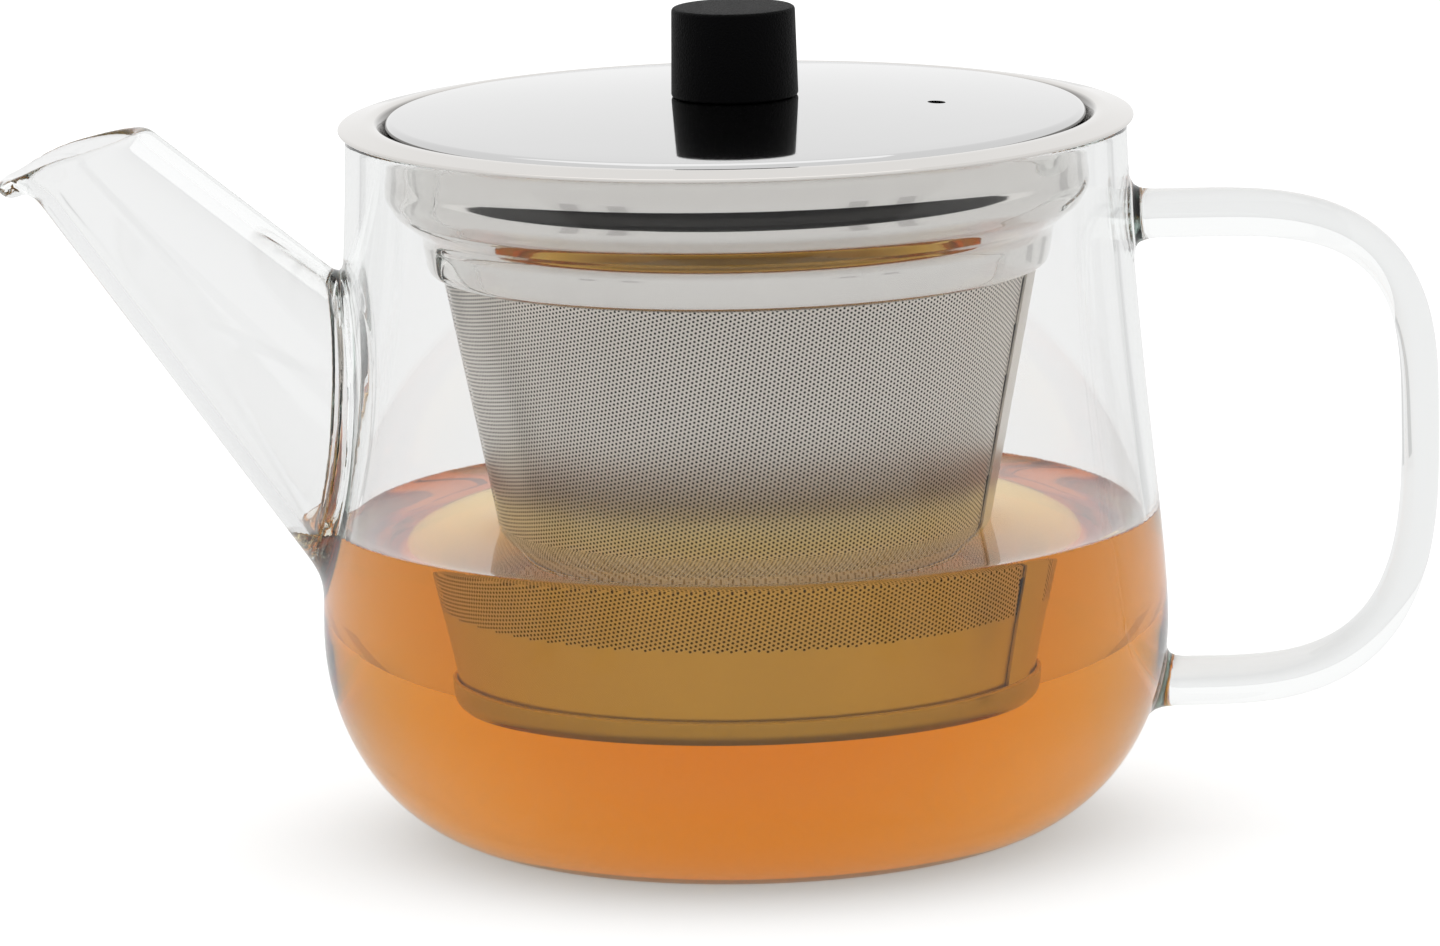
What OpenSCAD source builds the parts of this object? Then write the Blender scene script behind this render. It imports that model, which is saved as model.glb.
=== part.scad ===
// Glass teapot with a lift-out steel infuser basket and a domed steel lid.
// The origin is on the body's axis at the foot, +Z up, spout along -X, handle along +X.

/* [Glass body] */
// Outer radius of the body at its widest place
belly_r = 51.6; // [46:0.1:62]
// Height of the widest place
belly_z = 26; // [20:0.5:34]
// Radius of the flat foot that the pot stands on
foot_r = 30; // [24:0.5:36]
// Outer radius of the glass at its rim
rim_r = 47.4; // [45:0.1:58]
// Height of the glass rim
rim_z = 87.5; // [72:0.5:108]
// Thickness of the body's wall
wall_t = 2; // [1.5:0.1:2.6]

/* [Spout] */
// Angle between the spout's axis and the table
spout_tilt = 47; // [40:1:52]
// Distance from the origin to the middle of the mouth, along the spout's axis
spout_len = 117.6; // [110:0.2:142]
// Outer radius of the spout at its mouth
mouth_r = 7.5; // [6:0.1:9.5]
// Growth of the spout's radius for each millimetre towards its root
spout_taper = 0.135; // [0.11:0.005:0.16]
// Angle by which the mouth's plane dips forward
mouth_dip = 15; // [8:1:20]
// Thickness of the spout's wall
spout_t = 1.8; // [1.4:0.1:2.4]
// Radius of the hole through the body's wall, along the spout's axis
spout_hole_r = 10.4; // [8:0.2:12.5]
// Radius of the rounded pouring lip
lip_r = 1.4; // [1:0.1:1.8]

/* [Handle] */
// Farthest reach of the handle from the body's axis
handle_reach = 85; // [78:0.5:102]
// Distance from the glass rim down to the middle of the upper limb
handle_drop = 12.4; // [8:0.1:18]
// Height of the middle of the lower limb
handle_low_z = 17.1; // [14:0.2:26]
// Height of the place where the grip stands farthest out
grip_z = 50; // [44:0.5:56]
// Straight length of the lower limb, from the body's widest place to the bend
limb_run = 3.4; // [2:0.1:6]
// Squareness of the bends: 2 is an ellipse, more is squarer
bend_power = 3.1; // [2:0.1:5]
// Thickness of the limbs, seen from the side
limb_t = 6.1; // [5:0.1:8]
// Thickness of the upright grip, seen from the side
grip_t = 4.5; // [3.5:0.1:6]
// Width of the handle, seen from the end
handle_w = 6.6; // [5:0.1:9]
// Extra radius where the handle is fused to the body
weld_flare = 1.3; // [0.5:0.1:2]

/* [Infuser] */
// Thickness of the pressed steel sheet
sheet_t = 0.5; // [0.4:0.05:0.7]
// Gap between the flange and the glass rim it hangs on
seat_gap = 0.25; // [0.2:0.05:0.4]
// How far the flange reaches out over the glass rim
flange_over = 0.8; // [0.3:0.1:2]
// Gap between the glass and the well that takes the lid
well_gap = 2.2; // [1.6:0.1:4]
// Depth of the well, from the flange down to the basket's collar
well_depth = 14.4; // [12:0.2:18]
// Height of the collar that grips the basket
collar_h = 3.6; // [2.5:0.1:5]
// How far the basket's wall stands inside the well
basket_step = 7.2; // [5:0.1:9]
// Height of the underside of the basket above the table
basket_z = 18.1; // [14:0.1:24]
// Loss of the basket's radius for each millimetre down
basket_taper = 0.195; // [0.12:0.005:0.21]
// Thickness of the perforated sheet
mesh_t = 0.4; // [0.3:0.05:0.5]
// Width of the overlap where the rolled sheet is welded
seam_w = 6; // [4:0.5:9]
// Place of the overlap round the basket, counted from +X towards +Y
seam_at = -18; // [-180:1:180]
// Height of the cup that closes the basket's lower end
cup_h = 2.3; // [1.8:0.1:5]

/* [Lid] */
// Thickness of the lid's sheet
lid_t = 0.6; // [0.5:0.05:0.8]
// Gap between the lid's rounded edge and the mouth of the well
lid_gap = 0.45; // [0.3:0.05:0.8]
// Rise of the dome from its edge to its middle
dome_rise = 1.9; // [1:0.1:4]
// Depth of the skirt that goes down into the well
skirt_h = 8; // [5:0.2:9]
// Distance of the steam vent from the axis
vent_at = 24.8; // [18:0.1:34]
// Radius of the steam vent
vent_r = 1.1; // [0.8:0.1:2]

/* [Knob] */
// Height of the knob
knob_h = 10.8; // [8:0.1:16]
// Radius of the knob at its foot
knob_r = 7.7; // [6:0.1:11]
// Radius of the rounded edge at the knob's top
knob_edge = 0.5; // [0.3:0.1:1]
// Radius of the screw's shank
screw_r = 2; // [1.5:0.1:2.5]
// Depth of the threaded insert in the knob
insert_h = 6.5; // [5:0.1:7]

/* [Hidden] */
$fn = 96;
// How far spot-welded sheets sink into each other
weld = 0.002;
// Height of the flange's top face at the middle of the glass rim
flange_z = rim_z + seat_gap + sheet_t;
// Fall of the flange for each millimetre outwards
flange_dip = 0.18;
flange_r = rim_r + flange_over;
well_r = rim_r - wall_t - well_gap;
basket_r = well_r - basket_step;
handle_top_z = rim_z - handle_drop;
collar_top = flange_z - well_depth;
collar_low = collar_top - collar_h;
lid_r = well_r - sheet_t / 2 - lid_gap;
lid_edge = 0.9;
lid_z = flange_z - 0.3;
dome_z = lid_z + lid_edge + dome_rise;
washer_t = 0.8;
washer_r = screw_r * 2.6;
// The lid's underside falls away from its middle, so the washer seats on it at its own edge
washer_top = dome_z - lid_t - dome_rise * pow(washer_r / (lid_r - lid_edge), 2);
insert_r = screw_r + 1;

function bezier(p, n) = [for (i = [0:n]) let (t = i / n, s = 1 - t)
    s * s * s * p[0] + 3 * s * s * t * p[1] + 3 * s * t * t * p[2] + t * t * t * p[3]];
function arc(c, rx, ry, from, to, n) = [for (i = [0:n]) let (a = from + (to - from) * i / n)
    c + [rx * cos(a), ry * sin(a)]];
function reversed(p) = [for (i = [len(p) - 1:-1:0]) p[i]];
function drop_first(p) = [for (i = [1:len(p) - 1]) p[i]];
// A curve through the points: n steps on each span
function smooth(p, n) = let (last = len(p) - 1)
    concat([for (i = [0:last - 1], k = [0:n - 1]) let (
        a = p[max(i - 1, 0)], b = p[i], c = p[i + 1], d = p[min(i + 2, last)], t = k / n)
        0.5 * (2 * b + (c - a) * t + (2 * a - 5 * b + 4 * c - d) * t * t
            + (3 * b - a - 3 * c + d) * t * t * t)], [p[last]]);
// The line moved sideways by d, to the left of its direction
function beside(p, d) = [for (i = [0:len(p) - 1]) let (
    run = p[min(i + 1, len(p) - 1)] - p[max(i - 1, 0)]) p[i] + d * [-run[1], run[0]] / norm(run)];
// A closed strip of sheet on both sides of a line
function strip(p, t) = concat(beside(p, t / 2), reversed(beside(p, -t / 2)));

function pot_side() = concat(
    arc([foot_r, belly_z], belly_r - foot_r, belly_z, -90, 0, 12),
    drop_first(bezier([[belly_r, belly_z], [belly_r, belly_z + 0.2 * (rim_z - belly_z)],
        [rim_r + 0.6, belly_z + 0.53 * (rim_z - belly_z)], [rim_r, rim_z - wall_t / 2]], 10)));
function spout_radius(a) = mouth_r + spout_taper * (spout_len - a);
function basket_radius(z) = basket_r - basket_taper * (collar_low - z);

// The pot's whole outside, filled
module pot_solid() {
    rotate_extrude() polygon(concat([[0, 0]], pot_side(), [[rim_r - wall_t / 2, rim_z], [0, rim_z]]));
}

// A body of revolution along the spout's axis, from a distance to the end of the spout
module along_spout(from, to, r_from, r_to) {
    rotate([0, spout_tilt - 90, 0]) translate([0, 0, from]) cylinder(h = to - from, r1 = r_from, r2 = r_to);
}

// Everything past the mouth's plane
module past_mouth() {
    translate(mouth_middle()) rotate([0, -mouth_dip, 0]) translate([-60, -60, 0]) cube([120, 120, 80]);
}
function mouth_middle() = spout_len * [-cos(spout_tilt), 0, sin(spout_tilt)];

module glass_body() {
    side = pot_side();
    rim = arc([rim_r - wall_t / 2, rim_z - wall_t / 2], wall_t / 2, wall_t / 2, 15, 165, 6);
    color("azure", 0.35) difference() {
        rotate_extrude() polygon(concat([[0, 0]], side, rim, reversed(beside(side, wall_t)), [[0, wall_t]]));
        along_spout(40, 90, spout_hole_r, spout_hole_r);
    }
}

module glass_spout() {
    past = spout_len + 12;
    lip_out = mouth_r / cos(90 - spout_tilt - mouth_dip);
    color("azure", 0.35) difference() {
        union() {
            difference() {
                along_spout(30, past, spout_radius(30), spout_radius(past));
                past_mouth();
            }
            translate(mouth_middle()) rotate([0, -mouth_dip, 0]) rotate([0, 0, 145])
                translate([0, 0, -lip_r]) rotate_extrude(angle = 70)
                    translate([lip_out, 0]) circle(r = lip_r, $fn = 24);
        }
        pot_solid();
        along_spout(30, past, spout_radius(30) - spout_t, spout_radius(past) - spout_t);
    }
}

// The handle's centre line in the XZ plane: two straight limbs and a rounded square between them
handle_bend_x = belly_r + limb_run;
handle_half = handle_reach - grip_t / 2 - handle_bend_x;
function bend_at(t) = let (high = t > 0 ? handle_top_z - grip_z : grip_z - handle_low_z)
    [handle_bend_x + handle_half * pow(cos(t), 2 / bend_power),
     grip_z + high * sign(t) * pow(abs(sin(t)), 2 / bend_power)];
function handle_line() = concat(
    [[rim_r - wall_t, handle_top_z], [rim_r + 1, handle_top_z], [rim_r + 3, handle_top_z]],
    [for (t = [90:-6:-90]) bend_at(t)],
    [[belly_r + 1, handle_low_z], [belly_r - wall_t - 0.6, handle_low_z]]);

// Rings round a line in the XZ plane: in-plane radii from r, width w across
module swept(line, r, w, sides) {
    n = len(line);
    points = [for (i = [0:n - 1]) let (run = line[min(i + 1, n - 1)] - line[max(i - 1, 0)],
        side = [-run[1], run[0]] / norm(run)) for (k = [0:sides - 1]) let (a = 360 * k / sides,
        p = line[i] + side * r[i] * cos(a)) [p[0], w[i] * sin(a), p[1]]];
    walls = [for (i = [0:n - 2], k = [0:sides - 1]) let (m = (k + 1) % sides)
        each [[i * sides + k, i * sides + m, (i + 1) * sides + m],
              [i * sides + k, (i + 1) * sides + m, (i + 1) * sides + k]]];
    ends = [[for (k = [sides - 1:-1:0]) k], [for (k = [0:sides - 1]) (n - 1) * sides + k]];
    polyhedron(concat(points), concat(walls, ends));
}

module glass_handle() {
    line = handle_line();
    n = len(line) - 1;
    // From the limbs' thickness to the grip's, and a flare at the fused feet
    share = [for (p = line) min(max((p[0] - handle_bend_x) / handle_half, 0), 1)];
    flare = [for (i = [0:n]) i < 2 || i > n - 1 ? weld_flare : i == 2 || i == n - 1 ? weld_flare * 0.35 : 0];
    r = [for (i = [0:n]) (limb_t + (grip_t - limb_t) * share[i] * share[i]) / 2 + flare[i]];
    w = [for (i = [0:n]) handle_w / 2 + flare[i]];
    color("azure", 0.35) difference() {
        swept(line, r, w, 20);
        pot_solid();
    }
}

// Middle line of the pressed rim, from the flange's edge down to the collar's inward curl
function rim_line() = let (z = flange_z - sheet_t / 2, dip = (flange_over + 1) * flange_dip, d = well_depth)
    smooth([[flange_r - 0.1, z - dip], [rim_r - 1.2, z], [well_r + 1.5, z + 0.25], [well_r + 0.5, z + 0.05],
        [well_r - 0.1, z - 0.06 * d], [well_r - 0.6, z - 0.18 * d], [well_r - 0.85, z - 0.32 * d],
        [well_r - 0.5, z - 0.47 * d], [well_r - 1.1, z - 0.61 * d], [basket_r + 5.5, z - 0.68 * d],
        [basket_r + 4.2, z - 0.765 * d], [basket_r + 2.75, z - 0.85 * d], [basket_r + 2.1, z - 0.93 * d],
        [basket_r + 1.95, z - d], [basket_r + 1.5, collar_top - 0.72 * collar_h],
        [basket_r + 1.1, collar_low + 0.45], [basket_r + 0.5, collar_low + sheet_t / 2],
        [basket_radius(collar_low + sheet_t / 2) - weld, collar_low + sheet_t / 2]], 3);

module infuser_rim() {
    color("silver") rotate_extrude() polygon(strip(rim_line(), sheet_t));
}

// A ring of the basket's cone between two heights, lying out by some distance
module cone_shell(low, high, out, turn) {
    rotate_extrude(angle = turn) polygon([
        [basket_radius(low) + out - mesh_t, low], [basket_radius(low) + out, low],
        [basket_radius(high) + out, high], [basket_radius(high) + out - mesh_t, high]]);
}

module basket_mesh() {
    low = basket_z + sheet_t - weld;
    color("lightgray") union() {
        cone_shell(low, collar_low + 2.6, 0, 360);
        turn = seam_w / basket_radius(basket_z + 20) * 180 / PI;
        rotate([0, 0, seam_at]) cone_shell(basket_z + cup_h, collar_low - 0.1, mesh_t * 0.9, turn);
    }
}

module basket_bottom() {
    r = basket_radius(basket_z + cup_h) + sheet_t / 2 - weld;
    z = basket_z + sheet_t / 2;
    low_r = basket_radius(basket_z) - 1;
    color("silver") rotate_extrude() polygon(concat(
        [[0, z - sheet_t / 2], [low_r, z - sheet_t / 2]],
        arc([low_r, z + 1], r + sheet_t / 2 - low_r, 1 + sheet_t / 2, -90, 0, 6),
        [[r + sheet_t / 2, basket_z + cup_h], [r - sheet_t / 2, basket_z + cup_h],
         [basket_radius(basket_z + sheet_t) - weld, basket_z + sheet_t], [0, basket_z + sheet_t]]));
}

// Middle line of the lid, from its middle over the rounded edge and down the skirt
function lid_line() = let (r = lid_r - lid_edge, top = dome_z - lid_t / 2, edge_z = lid_z + lid_edge - lid_t / 2)
    concat([for (i = [0:10]) let (x = r * i / 10) [x, top - dome_rise * pow(x / r, 2)]],
        drop_first(arc([r, edge_z - lid_edge + lid_t / 2], lid_edge - lid_t / 2, lid_edge - lid_t / 2, 82, -20, 6)),
        [[r + 0.1, lid_z - 1.6], [r - 0.3, lid_z - 3.2], [r - 0.3, lid_z - skirt_h]]);

module lid_disc() {
    line = lid_line();
    over = concat([[0, dome_z]], drop_first(beside(line, lid_t / 2)));
    under = concat([[0, dome_z - lid_t]], drop_first(beside(line, -lid_t / 2)));
    color("silver") difference() {
        rotate_extrude() polygon(concat(over, reversed(under)));
        translate([0, 0, dome_z - 3]) cylinder(h = 6, r = screw_r + 0.3);
        translate([vent_at, -5, dome_z - 6]) cylinder(h = 12, r = vent_r, $fn = 32);
    }
}

module knob() {
    top = dome_z + knob_h;
    foot = 0.25;
    draft = 0.2;
    color("black") difference() {
        rotate_extrude() polygon(concat([[0, dome_z], [knob_r - foot, dome_z], [knob_r, dome_z + foot]],
            arc([knob_r - draft - knob_edge, top - knob_edge], knob_edge, knob_edge, 0, 90, 6), [[0, top]]));
        translate([0, 0, dome_z - 1]) cylinder(h = insert_h + 1.5, r = insert_r);
    }
}

module knob_insert() {
    color("goldenrod") translate([0, 0, dome_z]) difference() {
        cylinder(h = insert_h, r = insert_r);
        translate([0, 0, -1]) cylinder(h = insert_h + 2, r = screw_r);
    }
}

module knob_screw() {
    head_h = 2.2;
    under = washer_top - washer_t;
    color("gray") union() {
        translate([0, 0, under - 0.02]) cylinder(h = dome_z + insert_h - 0.5 - under, r = screw_r - 0.03);
        difference() {
            translate([0, 0, under - head_h]) cylinder(h = head_h, r1 = screw_r * 1.6, r2 = screw_r * 1.9);
            for (turn = [0, 90]) rotate([0, 0, turn]) translate([-screw_r, -0.5, under - head_h - 1])
                cube([2 * screw_r, 1, 2.2]);
        }
    }
}

module knob_washer() {
    color("white") translate([0, 0, washer_top - washer_t]) difference() {
        cylinder(h = washer_t, r = washer_r);
        translate([0, 0, -1]) cylinder(h = washer_t + 2, r = screw_r + 0.1);
    }
}

glass_body();
glass_spout();
glass_handle();
infuser_rim();
basket_mesh();
basket_bottom();
lid_disc();
knob();
knob_insert();
knob_screw();
knob_washer();
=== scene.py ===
import math
import bpy
import numpy as np
from mathutils import Matrix, Vector


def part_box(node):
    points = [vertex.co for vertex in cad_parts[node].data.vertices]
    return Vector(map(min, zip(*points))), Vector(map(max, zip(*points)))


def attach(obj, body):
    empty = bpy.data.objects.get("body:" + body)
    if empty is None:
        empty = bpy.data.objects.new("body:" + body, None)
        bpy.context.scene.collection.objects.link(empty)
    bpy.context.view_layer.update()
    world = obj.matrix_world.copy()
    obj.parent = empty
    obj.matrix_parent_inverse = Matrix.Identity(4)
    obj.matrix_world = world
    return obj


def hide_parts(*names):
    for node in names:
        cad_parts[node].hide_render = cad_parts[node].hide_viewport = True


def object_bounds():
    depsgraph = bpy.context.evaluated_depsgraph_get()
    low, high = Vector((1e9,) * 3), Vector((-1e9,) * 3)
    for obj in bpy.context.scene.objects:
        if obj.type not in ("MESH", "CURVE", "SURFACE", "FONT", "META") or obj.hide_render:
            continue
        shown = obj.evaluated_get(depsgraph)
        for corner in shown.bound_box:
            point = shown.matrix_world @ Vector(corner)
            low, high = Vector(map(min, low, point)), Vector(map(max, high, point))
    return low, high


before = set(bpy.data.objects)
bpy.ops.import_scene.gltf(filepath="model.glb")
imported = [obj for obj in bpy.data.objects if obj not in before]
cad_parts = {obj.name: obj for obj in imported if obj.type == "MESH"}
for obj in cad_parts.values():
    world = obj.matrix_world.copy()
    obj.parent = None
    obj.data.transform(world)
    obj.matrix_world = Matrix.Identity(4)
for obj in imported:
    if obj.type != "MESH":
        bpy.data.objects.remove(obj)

# Shapes are worked out in millimetres and made in metres.
mm = 0.001
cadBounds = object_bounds()


def boxMm(node):
    low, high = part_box(node)
    return np.array(low) / mm, np.array(high) / mm


# Numbers and fields
def smoothMax(a, b, k):
    return np.maximum(a, b) + np.maximum(k - np.abs(a - b), 0) ** 3 / (6 * k * k)


def smoothMin(a, b, k):
    return -smoothMax(-a, -b, k)


def smoothStep(low, high, x):
    t = np.clip((x - low) / (high - low), 0, 1)
    return t * t * (3 - 2 * t)


def bezier(points, count):
    t = np.linspace(0, 1, count)[:, None]
    p = np.array(points, float)
    s = 1 - t
    return s ** 3 * p[0] + 3 * s * s * t * p[1] + 3 * s * t * t * p[2] + t ** 3 * p[3]


# Glass pot
bodyHigh = boxMm("glass_body")[1]
spoutLow = boxMm("glass_spout")[0]
handleHigh = boxMm("glass_handle")[1]
rimLow, rimHigh = boxMm("infuser_rim")

# The infuser's flange reaches flangePast beyond the glass rim.
flangePast = 0.75
pot = dict(
    bellyR=bodyHigh[0], bellyZ=26.0, rimR=rimHigh[0] - flangePast, rimZ=bodyHigh[2], footR=30.0,
    lean=0.6, wall=2.0, floor=2.8, floorFrom=2.0, floorTo=16.0, rimEdge=1.2, insideEdge=1.6)

sideTall = pot["rimZ"] - pot["bellyZ"]
sideCurve = bezier([
    (pot["bellyR"], pot["bellyZ"]), (pot["bellyR"], pot["bellyZ"] + 0.2 * sideTall),
    (pot["rimR"] + pot["lean"], pot["bellyZ"] + 0.53 * sideTall), (pot["rimR"], pot["rimZ"] - 1)], 600)
sideSlope = np.gradient(sideCurve[:, 0], sideCurve[:, 1])


def bodyField(r, z):
    # Distance outside the pot's outer side: a leaning wall on a quarter-ellipse heel
    side = np.interp(z, sideCurve[:, 1], sideCurve[:, 0])
    slope = np.interp(z, sideCurve[:, 1], sideSlope)
    wall = (r - side) / np.sqrt(1 + slope * slope)
    a, b = pot["bellyR"] - pot["footR"], pot["bellyZ"]
    u = np.maximum(r - pot["footR"], 0) / a
    v = (b - z) / b
    g = np.sqrt(u * u + v * v) + 1e-9
    heel = (g - 1) * g / np.sqrt((u / a) ** 2 + (v / b) ** 2 + 1e-12)
    return np.where(z > b, wall, heel)


spout = dict(
    tilt=47.0, length=117.6, mouthR=7.5, taper=0.135, dip=15.0, wall=1.8, weld=2.6, mouthEdge=1.4,
    solidFrom=26.0, hollowFrom=40.0, channelEdge=2.4, inBlend=1.6,
    holeR=10.2, holeInset=0.9, holeEdge=1.0, holeDeep=3.5,
    lipReach=3.0, lipLong=5.0, lipNarrow=4.0, lipDrop=1.9, dropX=-80.5, dropLong=8.6)
bead = dict(x=spoutLow[0] + 1.45, z=81.4, r=1.3, wide=2.4, blend=2.2, flatter=0.8)


def spoutFields(x, y, z):
    # Outer and inner wall of the spout, and how far a point is past the mouth
    tilt, dip = math.radians(spout["tilt"]), math.radians(spout["dip"])
    along = -x * math.cos(tilt) + z * math.sin(tilt)
    down = -x * math.sin(tilt) - z * math.cos(tilt)
    rho = np.sqrt(down * down + y * y) + 1e-9
    mouthX, mouthZ = -spout["length"] * math.cos(tilt), spout["length"] * math.sin(tilt)
    past = -(x - mouthX) * math.sin(dip) + (z - mouthZ) * math.cos(dip)
    past = past + spout["lipDrop"] * np.clip((spout["dropX"] - x) / spout["dropLong"], 0, 1.2) ** 2
    front = np.clip(down / rho, 0, 1) ** spout["lipNarrow"]
    curl = np.clip((past + spout["lipLong"]) / spout["lipLong"], 0, 1.6)
    flare = spout["lipReach"] * curl * curl * front
    flareSlope = 2 * spout["lipReach"] * curl * front / spout["lipLong"]
    radius = spout["mouthR"] + spout["taper"] * (spout["length"] - along)
    cosine = 1 / np.sqrt(1 + (spout["taper"] - flareSlope) ** 2)
    outer = (rho - radius - flare) * cosine
    return outer, outer + spout["wall"], past, rho, along


handle = dict(
    reach=handleHigh[0], topZ=bodyHigh[2] - 12.4, lowZ=17.1, gripZ=50.0, bendX=bodyHigh[0] + 3.4,
    startX=45.5, square=3.1, limb=6.1, grip=4.5, width=6.6, weld=3.4)


def handleField(x, y, z):
    # An oval rod along a rounded square with two straight limbs
    n = handle["square"]
    a = handle["reach"] - handle["grip"] / 2 - handle["bendX"]
    above, below = handle["topZ"] - handle["gripZ"], handle["gripZ"] - handle["lowZ"]
    b = np.where(z > handle["gripZ"], above, below)
    u = np.maximum(x - handle["bendX"], 0) / a + 1e-9
    v = np.abs(z - handle["gripZ"]) / b + 1e-9
    g = (u ** n + v ** n) ** (1 / n)
    steep = g ** (1 - n) * np.sqrt((u ** (n - 1) / a) ** 2 + (v ** (n - 1) / b) ** 2)
    off = (g - 1) / steep
    share = np.clip(u, 0, 1) ** 2
    inPlane = (handle["limb"] + (handle["grip"] - handle["limb"]) * share) / 2
    across = handle["width"] / 2
    q = np.sqrt((off / inPlane) ** 2 + (y / across) ** 2) + 1e-6
    rod = (q - 1) * q / np.sqrt((off / inPlane ** 2) ** 2 + (y / across ** 2) ** 2 + 1e-9)
    return np.maximum(rod, handle["startX"] - x)


def hollowField(x, y, z):
    # The inside of the pot and spout, joined through the hole in the body's wall
    body = bodyField(np.sqrt(x * x + y * y), z)
    thicker = smoothStep(pot["floorTo"], pot["floorFrom"], z)
    wall = pot["wall"] + (pot["floor"] - pot["wall"]) * thicker
    _, inner, _, rho, along = spoutFields(x, y, z)
    before = spout["hollowFrom"] - along
    channel = np.maximum(smoothMax(inner, -body, spout["channelEdge"]), before)
    hole = smoothMax(rho - spout["holeR"], inner + spout["holeInset"], spout["holeEdge"])
    throughWall = np.abs(body + pot["wall"] / 2) - spout["holeDeep"]
    hole = np.maximum(np.maximum(hole, throughWall), before)
    return smoothMin(smoothMin(body + wall, hole, spout["inBlend"]), channel, spout["inBlend"])


def glassField(x, y, z):
    r = np.sqrt(x * x + y * y)
    body = smoothMax(bodyField(r, z), z - pot["rimZ"], pot["rimEdge"])
    outer, _, past, _, along = spoutFields(x, y, z)
    tube = smoothMax(np.maximum(outer, spout["solidFrom"] - along), past, spout["mouthEdge"])
    # The drop-shaped bead at the tip of the lip
    q = np.sqrt((x - bead["x"]) ** 2 + (y / bead["wide"]) ** 2 + (z - bead["z"]) ** 2)
    tube = smoothMin(tube, (q - bead["r"]) * bead["flatter"], bead["blend"])
    solid = smoothMin(body, tube, spout["weld"])
    solid = smoothMin(solid, handleField(x, y, z), handle["weld"])
    return smoothMax(solid, -hollowField(x, y, z), pot["insideEdge"])


# Sizes that the tea and the basket share
meshLow, meshHigh = boxMm("basket_mesh")
cupLow, cupHigh = boxMm("basket_bottom")
tea = dict(level=38.9, sink=0.15, climb=0.9, basketClimb=0.45, climbWidth=1.8, edge=0.9)
basket = dict(
    topR=meshHigh[0] - 0.5, taper=0.195, top=meshHigh[2] - 2.6, low=meshLow[2], sheet=0.4,
    pitch=0.55, hole=0.33, holesLow=28.3, holesPast=0.6, tuck=1.8, tail=1.6,
    plainShare=0.1, seamAt=-18.0, seamWide=12.0, seamIn=0.02, seamOut=0.34, slit=0.2,
    shadeLiningThick=0.08, cupSheet=0.5)
# Sides of the round pieces, from the widest to the knob
wideSides, basketSides, knobSides = 256, 192, 128
softEdge, crispEdge = 50, 40


def basketRadius(z):
    return basket["topR"] - basket["taper"] * (basket["top"] - z)


def teaField(x, y, z):
    hollow = hollowField(x, y, z) - tea["sink"]
    r = np.sqrt(x * x + y * y)
    nearWall = np.exp(-np.maximum(-hollow - tea["sink"], 0) / tea["climbWidth"])
    nearBasket = np.exp(-np.abs(r - basketRadius(tea["level"])) / tea["climbWidth"])
    level = tea["level"] + tea["climb"] * nearWall + tea["basketClimb"] * nearBasket
    return smoothMax(hollow, z - level, tea["edge"])


def steps(start, *spans):
    # Grid lines with a step of its own for each span
    lines = [start]
    for end, step in zip(spans[::2], spans[1::2]):
        count = math.ceil((end - lines[-1]) / step)
        lines.extend(np.linspace(lines[-1], end, count + 1)[1:])
    return np.array(lines)


def gradientOf(field, p, step=0.01):
    g = np.empty_like(p)
    for axis in range(3):
        move = np.zeros(3)
        move[axis] = step
        g[:, axis] = (field(*(p + move).T) - field(*(p - move).T)) / (2 * step)
    return g


def surfaceOf(field, xs, ys, zs, polish=5):
    # One vertex in each cell that the surface crosses, one face round each crossed edge
    grid = field(xs[:, None, None], ys[None, :, None], zs[None, None, :])
    inside = grid < 0
    coords = [xs, ys, zs]
    cells = np.array(grid.shape) - 1
    count = int(np.prod(cells))
    total, hits, quads = np.zeros((count, 3)), np.zeros(count), []
    for axis in range(3):
        length = grid.shape[axis]
        low, high = np.arange(length - 1), np.arange(1, length)
        crossed = inside.take(low, axis) != inside.take(high, axis)
        index = np.array(np.nonzero(crossed))
        u, v = (axis + 1) % 3, (axis + 2) % 3
        inner = (index[u] > 0) & (index[u] < cells[u]) & (index[v] > 0) & (index[v] < cells[v])
        index = index[:, inner]
        ahead = index.copy()
        ahead[axis] += 1
        f0, f1 = grid[tuple(index)], grid[tuple(ahead)]
        point = np.stack([coords[k][index[k]] for k in range(3)], 1)
        point[:, axis] += f0 / (f0 - f1) * (coords[axis][ahead[axis]] - coords[axis][index[axis]])
        corners = []
        for du, dv in ((0, 0), (-1, 0), (-1, -1), (0, -1)):
            cell = index.copy()
            cell[u] += du
            cell[v] += dv
            flat = np.ravel_multi_index(tuple(cell), tuple(cells))
            corners.append(flat)
            hits += np.bincount(flat, minlength=count)
            for k in range(3):
                total[:, k] += np.bincount(flat, weights=point[:, k], minlength=count)
        quad = np.stack(corners, 1)
        outward = inside[tuple(index)]
        quads.append(np.where(outward[:, None], quad, quad[:, ::-1]))
    used = np.nonzero(hits)[0]
    names = np.full(count, -1)
    names[used] = np.arange(len(used))
    points = total[used] / hits[used, None]
    for _ in range(polish):
        g = gradientOf(field, points)
        move = g * (field(*points.T) / np.maximum((g * g).sum(1), 1e-3))[:, None]
        points -= np.clip(move, -0.4, 0.4)
    g = gradientOf(field, points)
    normals = g / np.maximum(np.linalg.norm(g, axis=1), 1e-6)[:, None]
    return points, names[np.concatenate(quads)], normals


def addMesh(name, points, faces, normals=None, sharp=None):
    mesh = bpy.data.meshes.new(name)
    faces = faces.tolist() if isinstance(faces, np.ndarray) else faces
    mesh.from_pydata((np.asarray(points) * mm).tolist(), [], faces)
    mesh.polygons.foreach_set("use_smooth", [True] * len(mesh.polygons))
    if sharp is not None:
        mesh.set_sharp_from_angle(angle=math.radians(sharp))
    if normals is not None:
        mesh.normals_split_custom_set_from_vertices(np.asarray(normals).tolist())
    mesh.update()
    piece = bpy.data.objects.new(name, mesh)
    bpy.context.scene.collection.objects.link(piece)
    return piece


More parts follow.
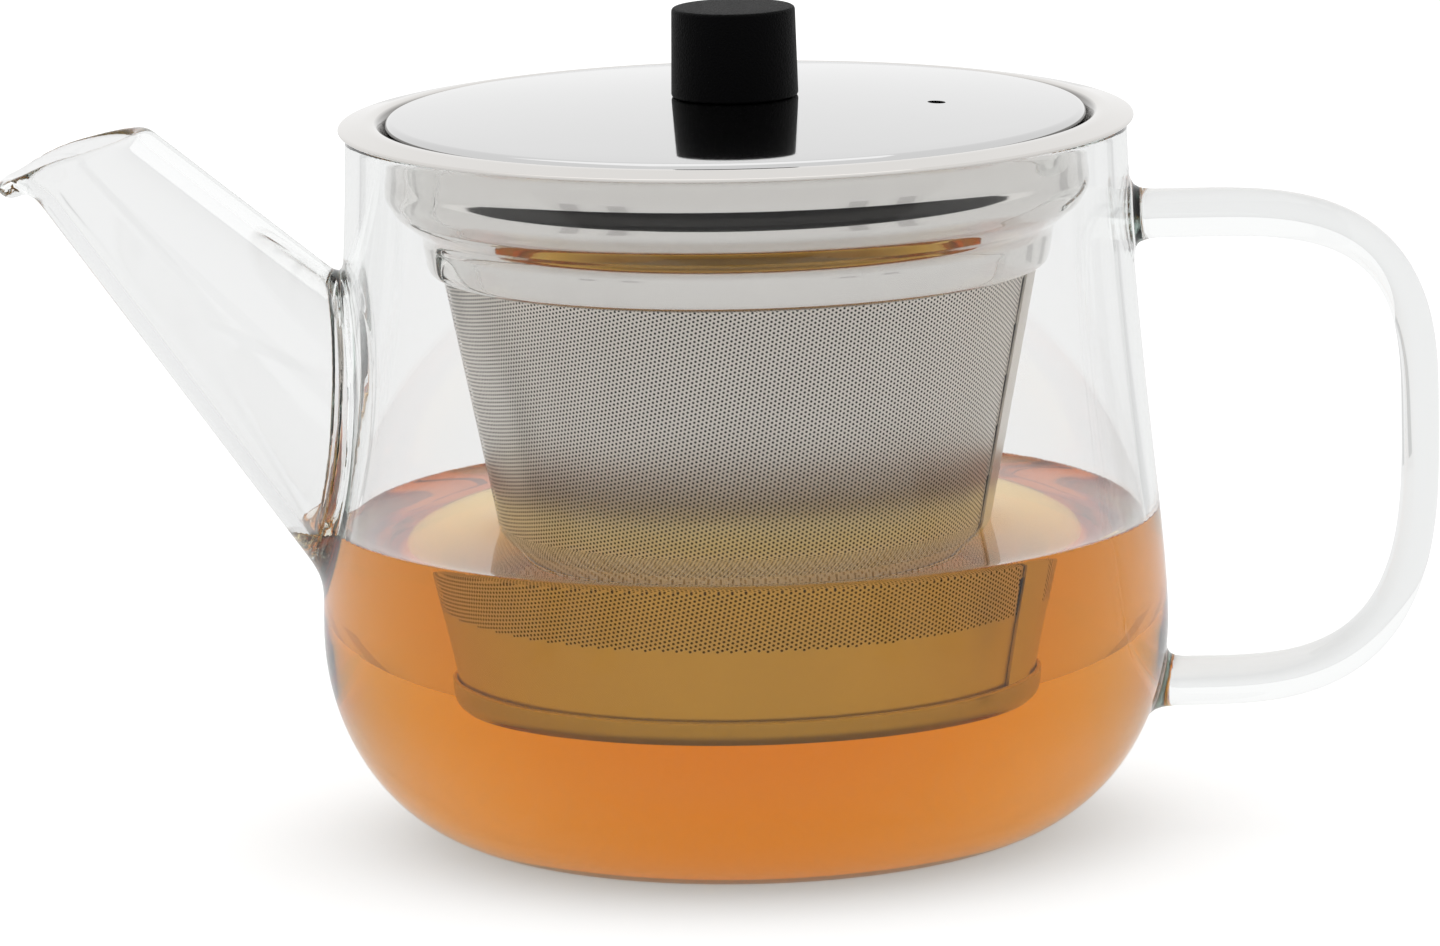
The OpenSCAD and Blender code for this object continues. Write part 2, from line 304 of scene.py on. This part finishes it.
def smoothLine(points, count):
    # A curve through the points
    p = np.array(points, float)
    p = np.vstack([p[0], p, p[-1]])
    t = np.arange(count)[:, None] / count
    spans = []
    for a, b, c, d in zip(p, p[1:], p[2:], p[3:]):
        spans.append(0.5 * (2 * b + (c - a) * t + (2 * a - 5 * b + 4 * c - d) * t ** 2
                            + (3 * b - a - 3 * c + d) * t ** 3))
    return np.vstack(spans + [p[-1:]])


def beside(line, distance):
    run = np.gradient(line, axis=0)
    side = np.stack([-run[:, 1], run[:, 0]], 1)
    return line + distance * side / np.linalg.norm(side, axis=1)[:, None]


sheetArc = np.radians(np.linspace(-60, 60, 5))


def roundEnd(line, radius, start):
    # An arc that rounds off one end of a strip of sheet
    centre = line[0] if start else line[-1]
    run = line[0] - line[1] if start else line[-1] - line[-2]
    angles = math.atan2(run[1], run[0]) + sheetArc
    return centre + radius * np.stack([np.cos(angles), np.sin(angles)], 1)


def sheetOutline(line, thick):
    left, right = beside(line, thick / 2), beside(line, -thick / 2)
    tail = roundEnd(line, thick / 2, False)[::-1]
    head = roundEnd(line, thick / 2, True)[::-1]
    return np.vstack([left, tail, right[::-1], head])


def revolved(name, outline, count, sharp):
    # Turns a closed outline of (radius, height) points round the Z axis
    outline = np.asarray(outline, float)
    points, rows = [], []
    turns = np.linspace(0, 2 * math.pi, count, endpoint=False)
    onAxis = 1e-4
    for r, z in outline:
        if r < onAxis:
            rows.append([len(points)] * count)
            points.append((0, 0, z))
        else:
            rows.append(list(range(len(points), len(points) + count)))
            points.extend(zip(r * np.cos(turns), r * np.sin(turns), [z] * count))
    across, up = outline.T
    area = 0.5 * np.sum(across * np.roll(up, -1) - np.roll(across, -1) * up)
    order = list(range(len(rows)))[::1 if area > 0 else -1]
    faces = []
    for i, j in zip(order, order[1:] + order[:1]):
        a, b = rows[i], rows[j]
        if a[0] == a[1] and b[0] == b[1]:
            continue
        for k in range(count):
            m = (k + 1) % count
            ring = [a[k], a[m], b[m], b[k]]
            faces.append([v for n, v in enumerate(ring) if v not in ring[:n]])
    return addMesh(name, np.array(points), faces, sharp=sharp)


def closedOnAxis(outline):
    # Keeps the half of an outline that starts on the axis
    outline = outline[outline[:, 0] >= -0.01]
    outline[:, 0] = np.maximum(outline[:, 0], 0)
    return outline


# Shader values as expressions
class Value:
    def __init__(self, maker, socket):
        self.maker, self.socket = maker, socket

    def maths(self, operation, *others):
        return self.maker.node("ShaderNodeMath", dict(operation=operation), [self, *others])

    def __add__(self, other):
        return self.maths("ADD", other)

    def __mul__(self, other):
        return self.maths("MULTIPLY", other)

    def __sub__(self, other):
        return self.maths("SUBTRACT", other)

    def __rsub__(self, other):
        return self * -1 + other

    __radd__, __rmul__ = __add__, __mul__


class Shader:
    def __init__(self, name):
        self.material = bpy.data.materials.new(name)
        self.material.use_nodes = True
        self.tree = self.material.node_tree
        self.main = self.tree.nodes["Principled BSDF"]
        self.end = self.tree.nodes["Material Output"]

    def node(self, kind, settings=None, inputs=(), output=0):
        made = self.tree.nodes.new(kind)
        for key, value in (settings or {}).items():
            setattr(made, key, value)
        pairs = inputs.items() if isinstance(inputs, dict) else enumerate(inputs)
        for key, value in pairs:
            self.put(made.inputs[key], value)
        return Value(self, made.outputs[output])

    def put(self, socket, value):
        if isinstance(value, Value):
            self.tree.links.new(value.socket, socket)
        elif value is not None:
            socket.default_value = value

    def set(self, **values):
        for key, value in values.items():
            self.put(self.main.inputs[key.replace("_", " ")], value)
        return self

    def place(self):
        return self.node("ShaderNodeTexCoord", output="Object")

    def noise(self, scale, detail=3.0, rough=0.5, stretch=None):
        place = self.place()
        if stretch:
            place = self.node("ShaderNodeMapping", None, {"Vector": place, "Scale": stretch})
        return self.node("ShaderNodeTexNoise", None,
                         {"Vector": place, "Scale": scale, "Detail": detail, "Roughness": rough})

    def bump(self, height, depth, strength=1.0):
        inputs = {"Height": height, "Distance": depth, "Strength": strength}
        normal = self.node("ShaderNodeBump", None, inputs)
        self.put(self.main.inputs["Normal"], normal)
        return self

    def mixed(self, factor, a, b):
        # In this node sockets 0, 6 and 7 are the factor and the two colours, and output 2 is the colour
        return self.node("ShaderNodeMix", dict(data_type="RGBA"), {0: factor, 6: a, 7: b}, 2)


def clearMaterial(name, ior, absorb, shine):
    # absorb: how much of each colour a metre takes away
    s = Shader(name)
    s.set(Base_Color=(1, 1, 1, 1), Roughness=0.0, IOR=ior, Transmission_Weight=1.0, Specular_Tint=shine)
    density = max(absorb) * 1.1
    colour = tuple(1 - a / density for a in absorb) + (1,)
    volume = s.node("ShaderNodeVolumeAbsorption", None, {"Color": colour, "Density": density})
    s.put(s.end.inputs["Volume"], volume)
    return s.material


def steelMaterial(name, colour, rough, grain=0.0, inside=None, behind=None):
    s = Shader(name)
    smear = s.noise(60.0, 4.0, 0.6, (1, 1, 1))
    s.set(Metallic=1.0, Roughness=smear * (rough * 0.6) + rough * 0.7)
    tint = s.mixed(smear, tuple(c * 0.96 for c in colour) + (1,), tuple(colour) + (1,))
    s.set(Base_Color=tint)
    if inside:
        insideShade(s, tint, inside + (1,))
    # Painted shade: faces seen from their back take the darker colour behind, as little light reaches the
    # inside of the basket
    if behind:
        backShadeMask = s.node("ShaderNodeNewGeometry", output="Backfacing")
        s.set(Base_Color=s.mixed(backShadeMask, tint, behind + (1,)))
    if grain:
        s.bump(s.noise(900.0, 2.0), grain)
    return s.material


def insideShade(s, colour, dark):
    # Painted shade by facing: the faces that look at the axis take the second colour and the others keep
    # the first. On the rim those faces sit in a deep narrow gap, where little light comes, and are painted
    # darker
    flat = s.node("ShaderNodeVectorMath", dict(operation="MULTIPLY"), {0: s.place(), 1: (1, 1, 0)})
    normal = s.node("ShaderNodeNewGeometry", output="Normal")
    across = s.node("ShaderNodeVectorMath", dict(operation="DOT_PRODUCT"), {0: flat, 1: normal}, "Value")
    inner = s.node("ShaderNodeMapRange", None, {0: across, 1: -0.015, 2: -0.03, 3: 0.0, 4: 1.0})
    s.set(Base_Color=s.mixed(inner, colour, dark))


def plasticMaterial(name, colour, shine):
    s = Shader(name)
    fine = s.noise(4200.0, 2.0)
    s.set(Base_Color=colour, Roughness=0.38 + fine * 0.2, Specular_IOR_Level=shine)
    s.bump(fine, 0.0002, 0.9)
    return s.material


# Camera, floor and light
view = dict(
    target=(-2.8, 0.0, 44.2), distance=1215.0, elevation=10.5, roll=1.25, lens=249.0, sensor=36, far=30)
# paintedLightPatch is the colour of a glowing pool of painted light under the pot
floor = dict(
    radius=5000.0, corners=96, shade=(0.83, 0.83, 0.83, 1), lift=(0.365, 0.36, 0.355, 1),
    paintedLightPatch=(0.2, 0.19, 0.18, 1), patchScale=11.0, patchEdge=0.35)
light = dict(world=1.02, power=1.5, wide=1.2, deep=1.0, place=(-0.1, 0.25, 1.3))
strip = dict(radius=120.0, low=72.0, high=97.0, middle=-90.0, half=82.0, shade=0.015, pinch=11.0)
edges = dict(near=250.0, far=4000.0, height=8.0, offMiddle=37, strength=((6.0, 0.8), (3.0, 0.6)))


def addCamera():
    data = bpy.data.cameras.new("camera")
    camera = bpy.data.objects.new("camera", data)
    bpy.context.scene.collection.objects.link(camera)
    target = Vector(view["target"]) * mm
    up = math.radians(view["elevation"])
    camera.location = target + Vector((0, -math.cos(up), math.sin(up))) * view["distance"] * mm
    look = (target - camera.location).to_track_quat("-Z", "Y").to_matrix()
    camera.rotation_euler = (look @ Matrix.Rotation(math.radians(-view["roll"]), 3, "Z")).to_euler()
    data.sensor_width, data.lens, data.clip_end = view["sensor"], view["lens"], view["far"]
    bpy.context.scene.camera = camera
    print("camera at", [round(v, 3) for v in camera.location])


def addFloor():
    turns = np.linspace(0, 2 * math.pi, floor["corners"], endpoint=False)
    ring = floor["radius"] * np.stack([np.cos(turns), np.sin(turns), 0 * turns], 1)
    piece = addMesh("floor", ring, [list(range(floor["corners"]))])
    s = Shader("paleFloor")
    s.set(Base_Color=floor["shade"], Roughness=0.9, Specular_IOR_Level=0.0)
    # Painted light: a glowing patch under the pot, seen by every ray but the camera's, so it shows through
    # the glass and tea and lights them from below; and a lift of the floor where it is seen directly
    scaled = s.node("ShaderNodeMapping", None, {"Vector": s.place(), "Scale": (floor["patchScale"],) * 3})
    spot = s.node("ShaderNodeTexGradient", dict(gradient_type="SPHERICAL"), {"Vector": scaled}, 1)
    spot = s.node("ShaderNodeMapRange", None, {0: spot, 1: 0.0, 2: floor["patchEdge"], 3: 0.0, 4: 1.0})
    seen = s.node("ShaderNodeLightPath", output="Is Camera Ray")
    glow = s.mixed(spot, (0, 0, 0, 1), floor["paintedLightPatch"])
    s.set(Emission_Color=s.mixed(seen, glow, floor["lift"]), Emission_Strength=1.0)
    piece.data.materials.append(s.material)
    print("floor", floor["radius"], "mm in radius")


def addCard(name, profile, middle, half, shade, pinch=0.0):
    # Card on the floor that shows only through the glass, and in the steel behind it
    count = 24
    turns = np.radians(np.linspace(middle - half, middle + half, count))
    points, faces = [], []
    for radius, height in profile:
        heights = height + pinch * np.linspace(-1, 1, count) ** 2 * (-1 if height > profile[0][1] else 1)
        points.extend(zip(radius * np.cos(turns), radius * np.sin(turns), heights))
    for row in range(len(profile) - 1):
        for k in range(row * count, row * count + count - 1):
            faces.append([k, count + k, count + k + 1, k + 1])
    card = addMesh(name, np.array(points), faces)
    s = Shader(name)
    s.set(Base_Color=(shade, shade, shade, 1), Roughness=0.9, Specular_IOR_Level=0.0)
    card.data.materials.append(s.material)
    card.visible_camera = card.visible_diffuse = card.visible_glossy = card.visible_shadow = False
    card.visible_volume_scatter = False


def addCards():
    # A dark strip just in front, low enough to be missed by everything but the steel bowl
    profile = [(strip["radius"], strip["low"]), (strip["radius"], strip["high"])]
    addCard("darkStrip", profile, strip["middle"], strip["half"], strip["shade"], strip["pinch"])
    for k in range(4):
        for side in (-edges["offMiddle"], edges["offMiddle"]):
            for half, shade in edges["strength"]:
                name = f"edgeCard{k * 90 + side + 40}_{int(half)}"
                height = edges["height"] - half
                profile = [(edges["near"], height), (edges["far"], height)]
                addCard(name, profile, k * 90.0 + side, half, shade)
    print("dark strip and edge cards")


def addLights():
    world = bpy.data.worlds.new("studio")
    world.use_nodes = True
    background = world.node_tree.nodes["Background"]
    background.inputs["Color"].default_value = (1, 1, 1, 1)
    background.inputs["Strength"].default_value = light["world"]
    bpy.context.scene.world = world
    data = bpy.data.lights.new("topSoftBox", "AREA")
    data.shape = "RECTANGLE"
    data.size, data.size_y, data.energy = light["wide"], light["deep"], light["power"]
    lamp = bpy.data.objects.new("topSoftBox", data)
    lamp.location = light["place"]
    lamp.rotation_euler = (-Vector(light["place"])).to_track_quat("-Z", "Y").to_euler()
    bpy.context.scene.collection.objects.link(lamp)
    print("world and one area light")


# The pieces
glassLook = dict(ior=1.47, absorb=(8.0, 6.4, 7.0), shine=(0.6, 0.6, 0.6, 1))
glassGrid = dict(
    fine=0.6, coarse=0.9, tall=0.85, rimTall=0.45, spoutTo=-34, spoutHalf=19,
    margin=3, sideMargin=2, below=2, rimBelow=5, rimAbove=4)


def addPot():
    low, high = cadBounds[0] / mm, cadBounds[1] / mm
    fine, coarse, half = glassGrid["fine"], glassGrid["coarse"], glassGrid["spoutHalf"]
    margin, sideMargin = glassGrid["margin"], glassGrid["sideMargin"]
    xs = steps(low[0] - margin, glassGrid["spoutTo"], fine, high[0] + margin, coarse)
    ys = steps(low[1] - sideMargin, -half, coarse, half, fine, high[1] + sideMargin, coarse)
    rimFrom, rimTo = pot["rimZ"] - glassGrid["rimBelow"], pot["rimZ"] + glassGrid["rimAbove"]
    zs = steps(-glassGrid["below"], rimFrom, glassGrid["tall"], rimTo, glassGrid["rimTall"])
    points, faces, normals = surfaceOf(glassField, xs, ys, zs)
    piece = addMesh("glassPot", points, faces, normals)
    piece.data.materials.append(clearMaterial("clearGlass", **glassLook))
    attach(piece, "pot")
    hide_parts("glass_body", "glass_spout", "glass_handle")
    print("glass pot", len(faces), "faces")


teaLook = dict(ior=1.333, absorb=(4.6, 18.8, 70.0), shine=(0.6, 0.2, 0.04, 1))
teaGrid = dict(
    cell=0.6, left=-66, right=54, half=52.2, tall=0.9, low=1, high=36,
    levelTall=0.3, levelLow=36.2, levelHigh=43)


def addTea():
    xs = np.arange(teaGrid["left"], teaGrid["right"], teaGrid["cell"])
    ys = np.arange(-teaGrid["half"], teaGrid["half"], teaGrid["cell"])
    below = np.arange(teaGrid["low"], teaGrid["high"], teaGrid["tall"])
    level = np.arange(teaGrid["levelLow"], teaGrid["levelHigh"], teaGrid["levelTall"])
    zs = np.concatenate([below, level])
    points, faces, normals = surfaceOf(teaField, xs, ys, zs)
    piece = addMesh("brewedTea", points, faces, normals)
    piece.data.materials.append(clearMaterial("brewedTea", **teaLook))
    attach(piece, "pot")
    print("tea", len(faces), "faces")


# inside is painted shade on the rim's faces that look at the axis, in the narrow gap
rim = dict(
    sheet=0.5, crown=0.24, wellDeep=14.4, wellGap=2.2, colour=(0.68, 0.66, 0.635), rough=0.06,
    inside=(0.2, 0.19, 0.18))


def addRim():
    z, d = rimHigh[2] - rim["sheet"] / 2 - rim["crown"], rim["wellDeep"]
    well, mesh, low = pot["rimR"] - pot["wall"] - rim["wellGap"], basket["topR"], rimLow[2]
    line = [
        (rimHigh[0] - 0.15, z - 0.35), (pot["rimR"] - 1.2, z), (well + 1.5, z + 0.25),
        (well + 0.5, z + 0.05), (well - 0.1, z - 0.06 * d), (well - 0.6, z - 0.19 * d),
        (well - 0.9, z - 0.33 * d), (well - 0.7, z - 0.48 * d), (well - 0.78, z - 0.56 * d),
        (well - 1.25, z - 0.63 * d), (mesh + 5.4, z - 0.69 * d), (mesh + 4.2, z - 0.765 * d),
        (mesh + 2.75, z - 0.85 * d), (mesh + 2.1, z - 0.93 * d), (mesh + 1.95, z - d),
        (mesh + 1.5, z - 1.17 * d), (mesh + 1.1, low + 0.45), (mesh + 0.5, low + 0.25),
        (mesh + 0.1, low + 0.25)]
    piece = revolved("infuserRim", sheetOutline(smoothLine(line, 6), rim["sheet"]), wideSides, softEdge)
    steel = steelMaterial("rimSteel", rim["colour"], rim["rough"], inside=rim["inside"])
    piece.data.materials.append(steel)
    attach(piece, "infuser")
    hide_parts("infuser_rim")
    print("infuser rim", len(piece.data.polygons), "faces")


# behind is painted shade on the back of the perforated sheet
sheetLook = dict(colour=(0.71, 0.66, 0.60), rough=0.34, behind=(0.12, 0.10, 0.085))
# The lining's near-black colour is painted shade, seen through the holes; inside is the steel of its inner
# face
shadeLiningLook = dict(colour=(0.035, 0.028, 0.022), rough=0.6, inside=(0.5, 0.48, 0.45))
cupLook = dict(colour=(0.52, 0.47, 0.42), rough=0.25)


def neighbour(index, odd, up, evenStep, oddStep):
    # The number of the hexagon beside each one, or -1 where there is none
    out = np.full(index.shape, -1)
    rows, columns = index.shape
    for parity, step in ((0, evenStep), (1, oddStep)):
        j, i = np.nonzero(odd == parity)
        ok = (j + up >= 0) & (j + up < rows) & (i + step >= 0) & (i + step < columns)
        out[j[ok], i[ok]] = index[j[ok] + up, i[ok] + step]
    return out


def sheetFaces(index, odd, opened):
    # Quads between two hexagons, triangles between three, and a lid on each one that isn't open.
    # Corners are numbered from 30 degrees.
    east = neighbour(index, odd, 0, 1, 1)
    northEast = neighbour(index, odd, 1, 0, 1)
    northWest = neighbour(index, odd, 1, -1, 0)
    faces = []
    pairs = ((east, (0, 5), (2, 3)), (northEast, (1, 0), (3, 4)), (northWest, (2, 1), (4, 5)))
    for other, (a, b), (c, d) in pairs:
        ok = (index >= 0) & (other >= 0)
        h, o = index[ok] * 6, other[ok] * 6
        faces += np.stack([h + b, o + d, o + c, h + a], 1).tolist()
    for right, left, corner in ((east, northEast, 0), (northEast, northWest, 1)):
        ok = (index >= 0) & (right >= 0) & (left >= 0)
        h, r, l = index[ok] * 6, right[ok] * 6, left[ok] * 6
        faces += np.stack([h + corner, r + corner + 2, l + corner + 4], 1).tolist()
    shut = index[(index >= 0) & ~opened] * 6
    return faces + np.stack([shut + k for k in range(6)], 1).tolist()


def addSheet(steel):
    # Hexagonal holes on the cone laid flat, a distance from its apex and a turn round it
    slope, pitch = basket["taper"], basket["pitch"]
    sine = slope / math.sqrt(1 + slope ** 2)
    apex = basket["top"] - basket["topR"] / slope
    farthest = basketRadius(basket["top"] + basket["tuck"]) / sine
    nearest = basketRadius(basket["holesLow"] - basket["tail"]) / sine
    halfTurn = math.pi * sine
    rowPitch = pitch * math.sqrt(3) / 2
    rows = np.arange(int(nearest * math.cos(halfTurn) / rowPitch) - 1, int(farthest / rowPitch) + 2)
    across = int(farthest * math.sin(halfTurn) / pitch) + 3
    j, i = np.meshgrid(rows, np.arange(-across, across + 1), indexing="ij")
    odd = j % 2
    u, v = (i + 0.5 * odd) * pitch, j * rowPitch
    far, turn = np.sqrt(u * u + v * v), np.arctan2(u, v)
    height = apex + far * sine / slope
    kept = (far > nearest) & (far < farthest) & (np.abs(turn) < halfTurn - basket["slit"] / nearest)
    opened = kept & (height > basket["holesLow"]) & (height < basket["top"] + basket["holesPast"])
    plain = math.radians(basket["seamWide"] * basket["plainShare"]) * sine
    opened &= np.abs(turn) < halfTurn - plain
    index = np.full(kept.shape, -1)
    index[kept] = np.arange(kept.sum())
    angles = np.radians(np.arange(6) * 60 + 30)
    cornerU = u[kept][:, None] + basket["hole"] / 2 * np.cos(angles)
    cornerV = v[kept][:, None] + basket["hole"] / 2 * np.sin(angles)
    r = np.sqrt(cornerU * cornerU + cornerV * cornerV) * sine
    theta = np.arctan2(cornerU, cornerV) / sine + math.radians(basket["seamAt"]) + math.pi
    points = np.stack([r * np.cos(theta), r * np.sin(theta), apex + r / slope], -1).reshape(-1, 3)
    normals = np.stack([np.cos(theta), np.sin(theta), np.full_like(theta, -slope)], -1).reshape(-1, 3)
    faces = sheetFaces(index, odd, opened)
    piece = addMesh("basketSheet", points, faces, normals / math.sqrt(1 + slope * slope))
    piece.data.materials.append(steel)
    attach(piece, "infuser")
    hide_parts("basket_mesh")
    print("basket", int(opened.sum()), "holes", len(faces), "faces")


def addBand(steel):
    # The plain margin below the holes
    heights = np.linspace(basket["holesLow"] - 0.35, basket["low"] + 0.1, 8)
    line = np.array([(basketRadius(z) - 0.24, z) for z in heights])
    band = revolved("basketBand", sheetOutline(line, basket["sheet"]), wideSides, softEdge)
    band.data.materials.append(steel)
    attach(band, "infuser")


def addShadeLining():
    # The sheet's inner face, so that the holes are as deep as the sheet is thick. Its outer side is painted
    # shade, near black, so that the holes look dark; its inner side is steel
    heights = np.linspace(cupHigh[2] + 0.4, basket["top"] + basket["tuck"], 10)
    outline = [(basketRadius(z) - basket["sheet"], z) for z in heights]
    depth = basket["sheet"] + basket["shadeLiningThick"]
    outline += [(basketRadius(z) - depth, z) for z in heights[::-1]]
    shadeLiner = revolved("basketShadeLining", outline, basketSides, softEdge)
    shadeLiner.data.materials.append(steelMaterial("shadeLiningSteel", **shadeLiningLook))
    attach(shadeLiner, "infuser")


def addSeam(steel):
    # The overlap of the rolled sheet, as a thin strip that stands proud of the cone
    start = math.radians(basket["seamAt"])
    turns = np.linspace(start, start + math.radians(basket["seamWide"]), 9)
    heights = np.linspace(cupHigh[2] + 0.1, basket["top"] - 0.1, 12)
    points, faces = [], []
    for out in (basket["seamIn"], basket["seamOut"]):
        for z in heights:
            r = basketRadius(z) + out
            points.extend(zip(r * np.cos(turns), r * np.sin(turns), [z] * len(turns)))
    n, m = len(turns), len(heights)
    inner, outer = np.arange(2 * n * m).reshape(2, m, n).tolist()
    for b in range(m - 1):
        for a in range(n - 1):
            faces.append([outer[b][a], outer[b][a + 1], outer[b + 1][a + 1], outer[b + 1][a]])
            faces.append([inner[b][a], inner[b + 1][a], inner[b + 1][a + 1], inner[b][a + 1]])
        faces.append([inner[b][0], outer[b][0], outer[b + 1][0], inner[b + 1][0]])
        faces.append([outer[b][-1], inner[b][-1], inner[b + 1][-1], outer[b + 1][-1]])
    for a in range(n - 1):
        faces.append([inner[0][a], inner[0][a + 1], outer[0][a + 1], outer[0][a]])
        faces.append([outer[-1][a], outer[-1][a + 1], inner[-1][a + 1], inner[-1][a]])
    seam = addMesh("basketSeam", np.array(points), faces, sharp=crispEdge)
    seam.data.materials.append(steel)
    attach(seam, "infuser")


def addCup():
    half = basket["cupSheet"] / 2
    r, z = cupHigh[0] - half, cupLow[2] + half
    line = [
        (0, z), (r * 0.5, z), (r - 2.2, z), (r - 0.7, z + 0.15), (r - 0.15, z + 0.7), (r, cupHigh[2] - 0.1)]
    outline = closedOnAxis(sheetOutline(smoothLine(line, 6), basket["cupSheet"]))
    cup = revolved("basketCup", outline, basketSides, softEdge)
    cup.data.materials.append(steelMaterial("satinSteel", **cupLook))
    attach(cup, "infuser")
    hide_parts("basket_bottom")


def addBasket():
    steel = steelMaterial("perforatedSteel", **sheetLook)
    addSheet(steel)
    addBand(steel)
    addShadeLining()
    addSeam(steel)
    addCup()
    print("basket's band, lining, seam and cup")


lidLow, lidHigh = boxMm("lid_disc")
lid = dict(
    edge=0.9, sheet=0.6, rise=1.9, ventX=24.3, ventY=-5.0, ventR=1.1, ventSides=24,
    colour=(0.62, 0.62, 0.62), rough=0.06)


def addLid():
    edge, thick, rise, top = lid["edge"], lid["sheet"], lid["rise"], lidHigh[2]
    r, bend = lidHigh[0] - edge, top - rise - edge
    line = [(x, top - thick / 2 - rise * (x / r) ** 2) for x in np.linspace(0, r, 14)]
    turns = np.radians(np.linspace(75, -20, 8))
    bendR = edge - thick / 2
    line += [(r + bendR * math.cos(t), bend + bendR * math.sin(t)) for t in turns]
    line += [(r + 0.1, bend - 1.6), (r - 0.3, bend - 3.2), (r - 0.3, lidLow[2] + 0.3)]
    piece = revolved("lidDisc", closedOnAxis(sheetOutline(np.array(line), thick)), wideSides, crispEdge)
    piece.data.materials.append(steelMaterial("lidSteel", lid["colour"], lid["rough"]))
    cutVent(piece, top)
    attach(piece, "lid")
    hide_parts("lid_disc")
    print("lid", len(piece.data.polygons), "faces")


def cutVent(piece, top):
    n, ventR = lid["ventSides"], lid["ventR"]
    turns = np.linspace(0, 2 * math.pi, n, endpoint=False)
    ring = [(lid["ventX"] + ventR * math.cos(t), lid["ventY"] + ventR * math.sin(t)) for t in turns]
    points = [(x, y, z) for z in (top - 6, top + 3) for x, y in ring]
    sides = [[k, (k + 1) % n, n + (k + 1) % n, n + k] for k in range(n)]
    cutter = addMesh("ventCutter", points, sides + [list(range(n - 1, -1, -1)), list(range(n, 2 * n))])
    cut = piece.modifiers.new("vent", "BOOLEAN")
    cut.object, cut.operation, cut.solver = cutter, "DIFFERENCE", "EXACT"
    solid = bpy.data.meshes.new_from_object(piece.evaluated_get(bpy.context.evaluated_depsgraph_get()))
    piece.modifiers.clear()
    piece.data = solid
    piece.data.set_sharp_from_angle(angle=math.radians(crispEdge))
    bpy.data.objects.remove(cutter)


knobLow, knobHigh = boxMm("knob")
knob = dict(round=0.45, inset=0.2, colour=(0.0006, 0.0006, 0.0008, 1), shine=0.04)


def addKnob():
    r, low, high = knobHigh[0], knobLow[2], knobHigh[2]
    bend = knob["round"]
    across, up = r - knob["inset"] - bend, high - bend
    turns = np.radians(np.linspace(0, 90, 7))
    outline = [(0, low), (r - 0.3, low), (r - 0.08, low + 0.1), (r, low + 0.3)]
    outline += [(across + bend * math.cos(t), up + bend * math.sin(t)) for t in turns]
    outline += [(r * 0.6, high), (0, high)]
    piece = revolved("lidKnob", outline, knobSides, softEdge)
    piece.data.materials.append(plasticMaterial("blackPlastic", knob["colour"], knob["shine"]))
    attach(piece, "lid")
    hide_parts("knob")
    print("knob", len(piece.data.polygons), "faces")


def finishHidden():
    # The screw, its insert and the washer stay as they are in the frame
    for node, material in (
            ("knob_insert", steelMaterial("insertBrass", (0.75, 0.52, 0.22), 0.28, 0.00002)),
            ("knob_screw", steelMaterial("screwSteel", (0.60, 0.60, 0.60), 0.22, 0.00002)),
            ("knob_washer", plasticMaterial("washerSilicone", (0.62, 0.62, 0.60, 1), 0.3))):
        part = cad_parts[node]
        part.data.materials.clear()
        part.data.materials.append(material)
    print("materials on the CAD's insert, screw and washer")


addCamera()
addFloor()
addCards()
addLights()
addPot()
addTea()
addRim()
addBasket()
addLid()
addKnob()
finishHidden()

# Long paths, for light that runs along inside the glass
cycles = bpy.context.scene.cycles
cycles.max_bounces = cycles.transmission_bounces = 64
cycles.glossy_bounces = 48
bpy.context.scene.view_settings.view_transform = "Standard"
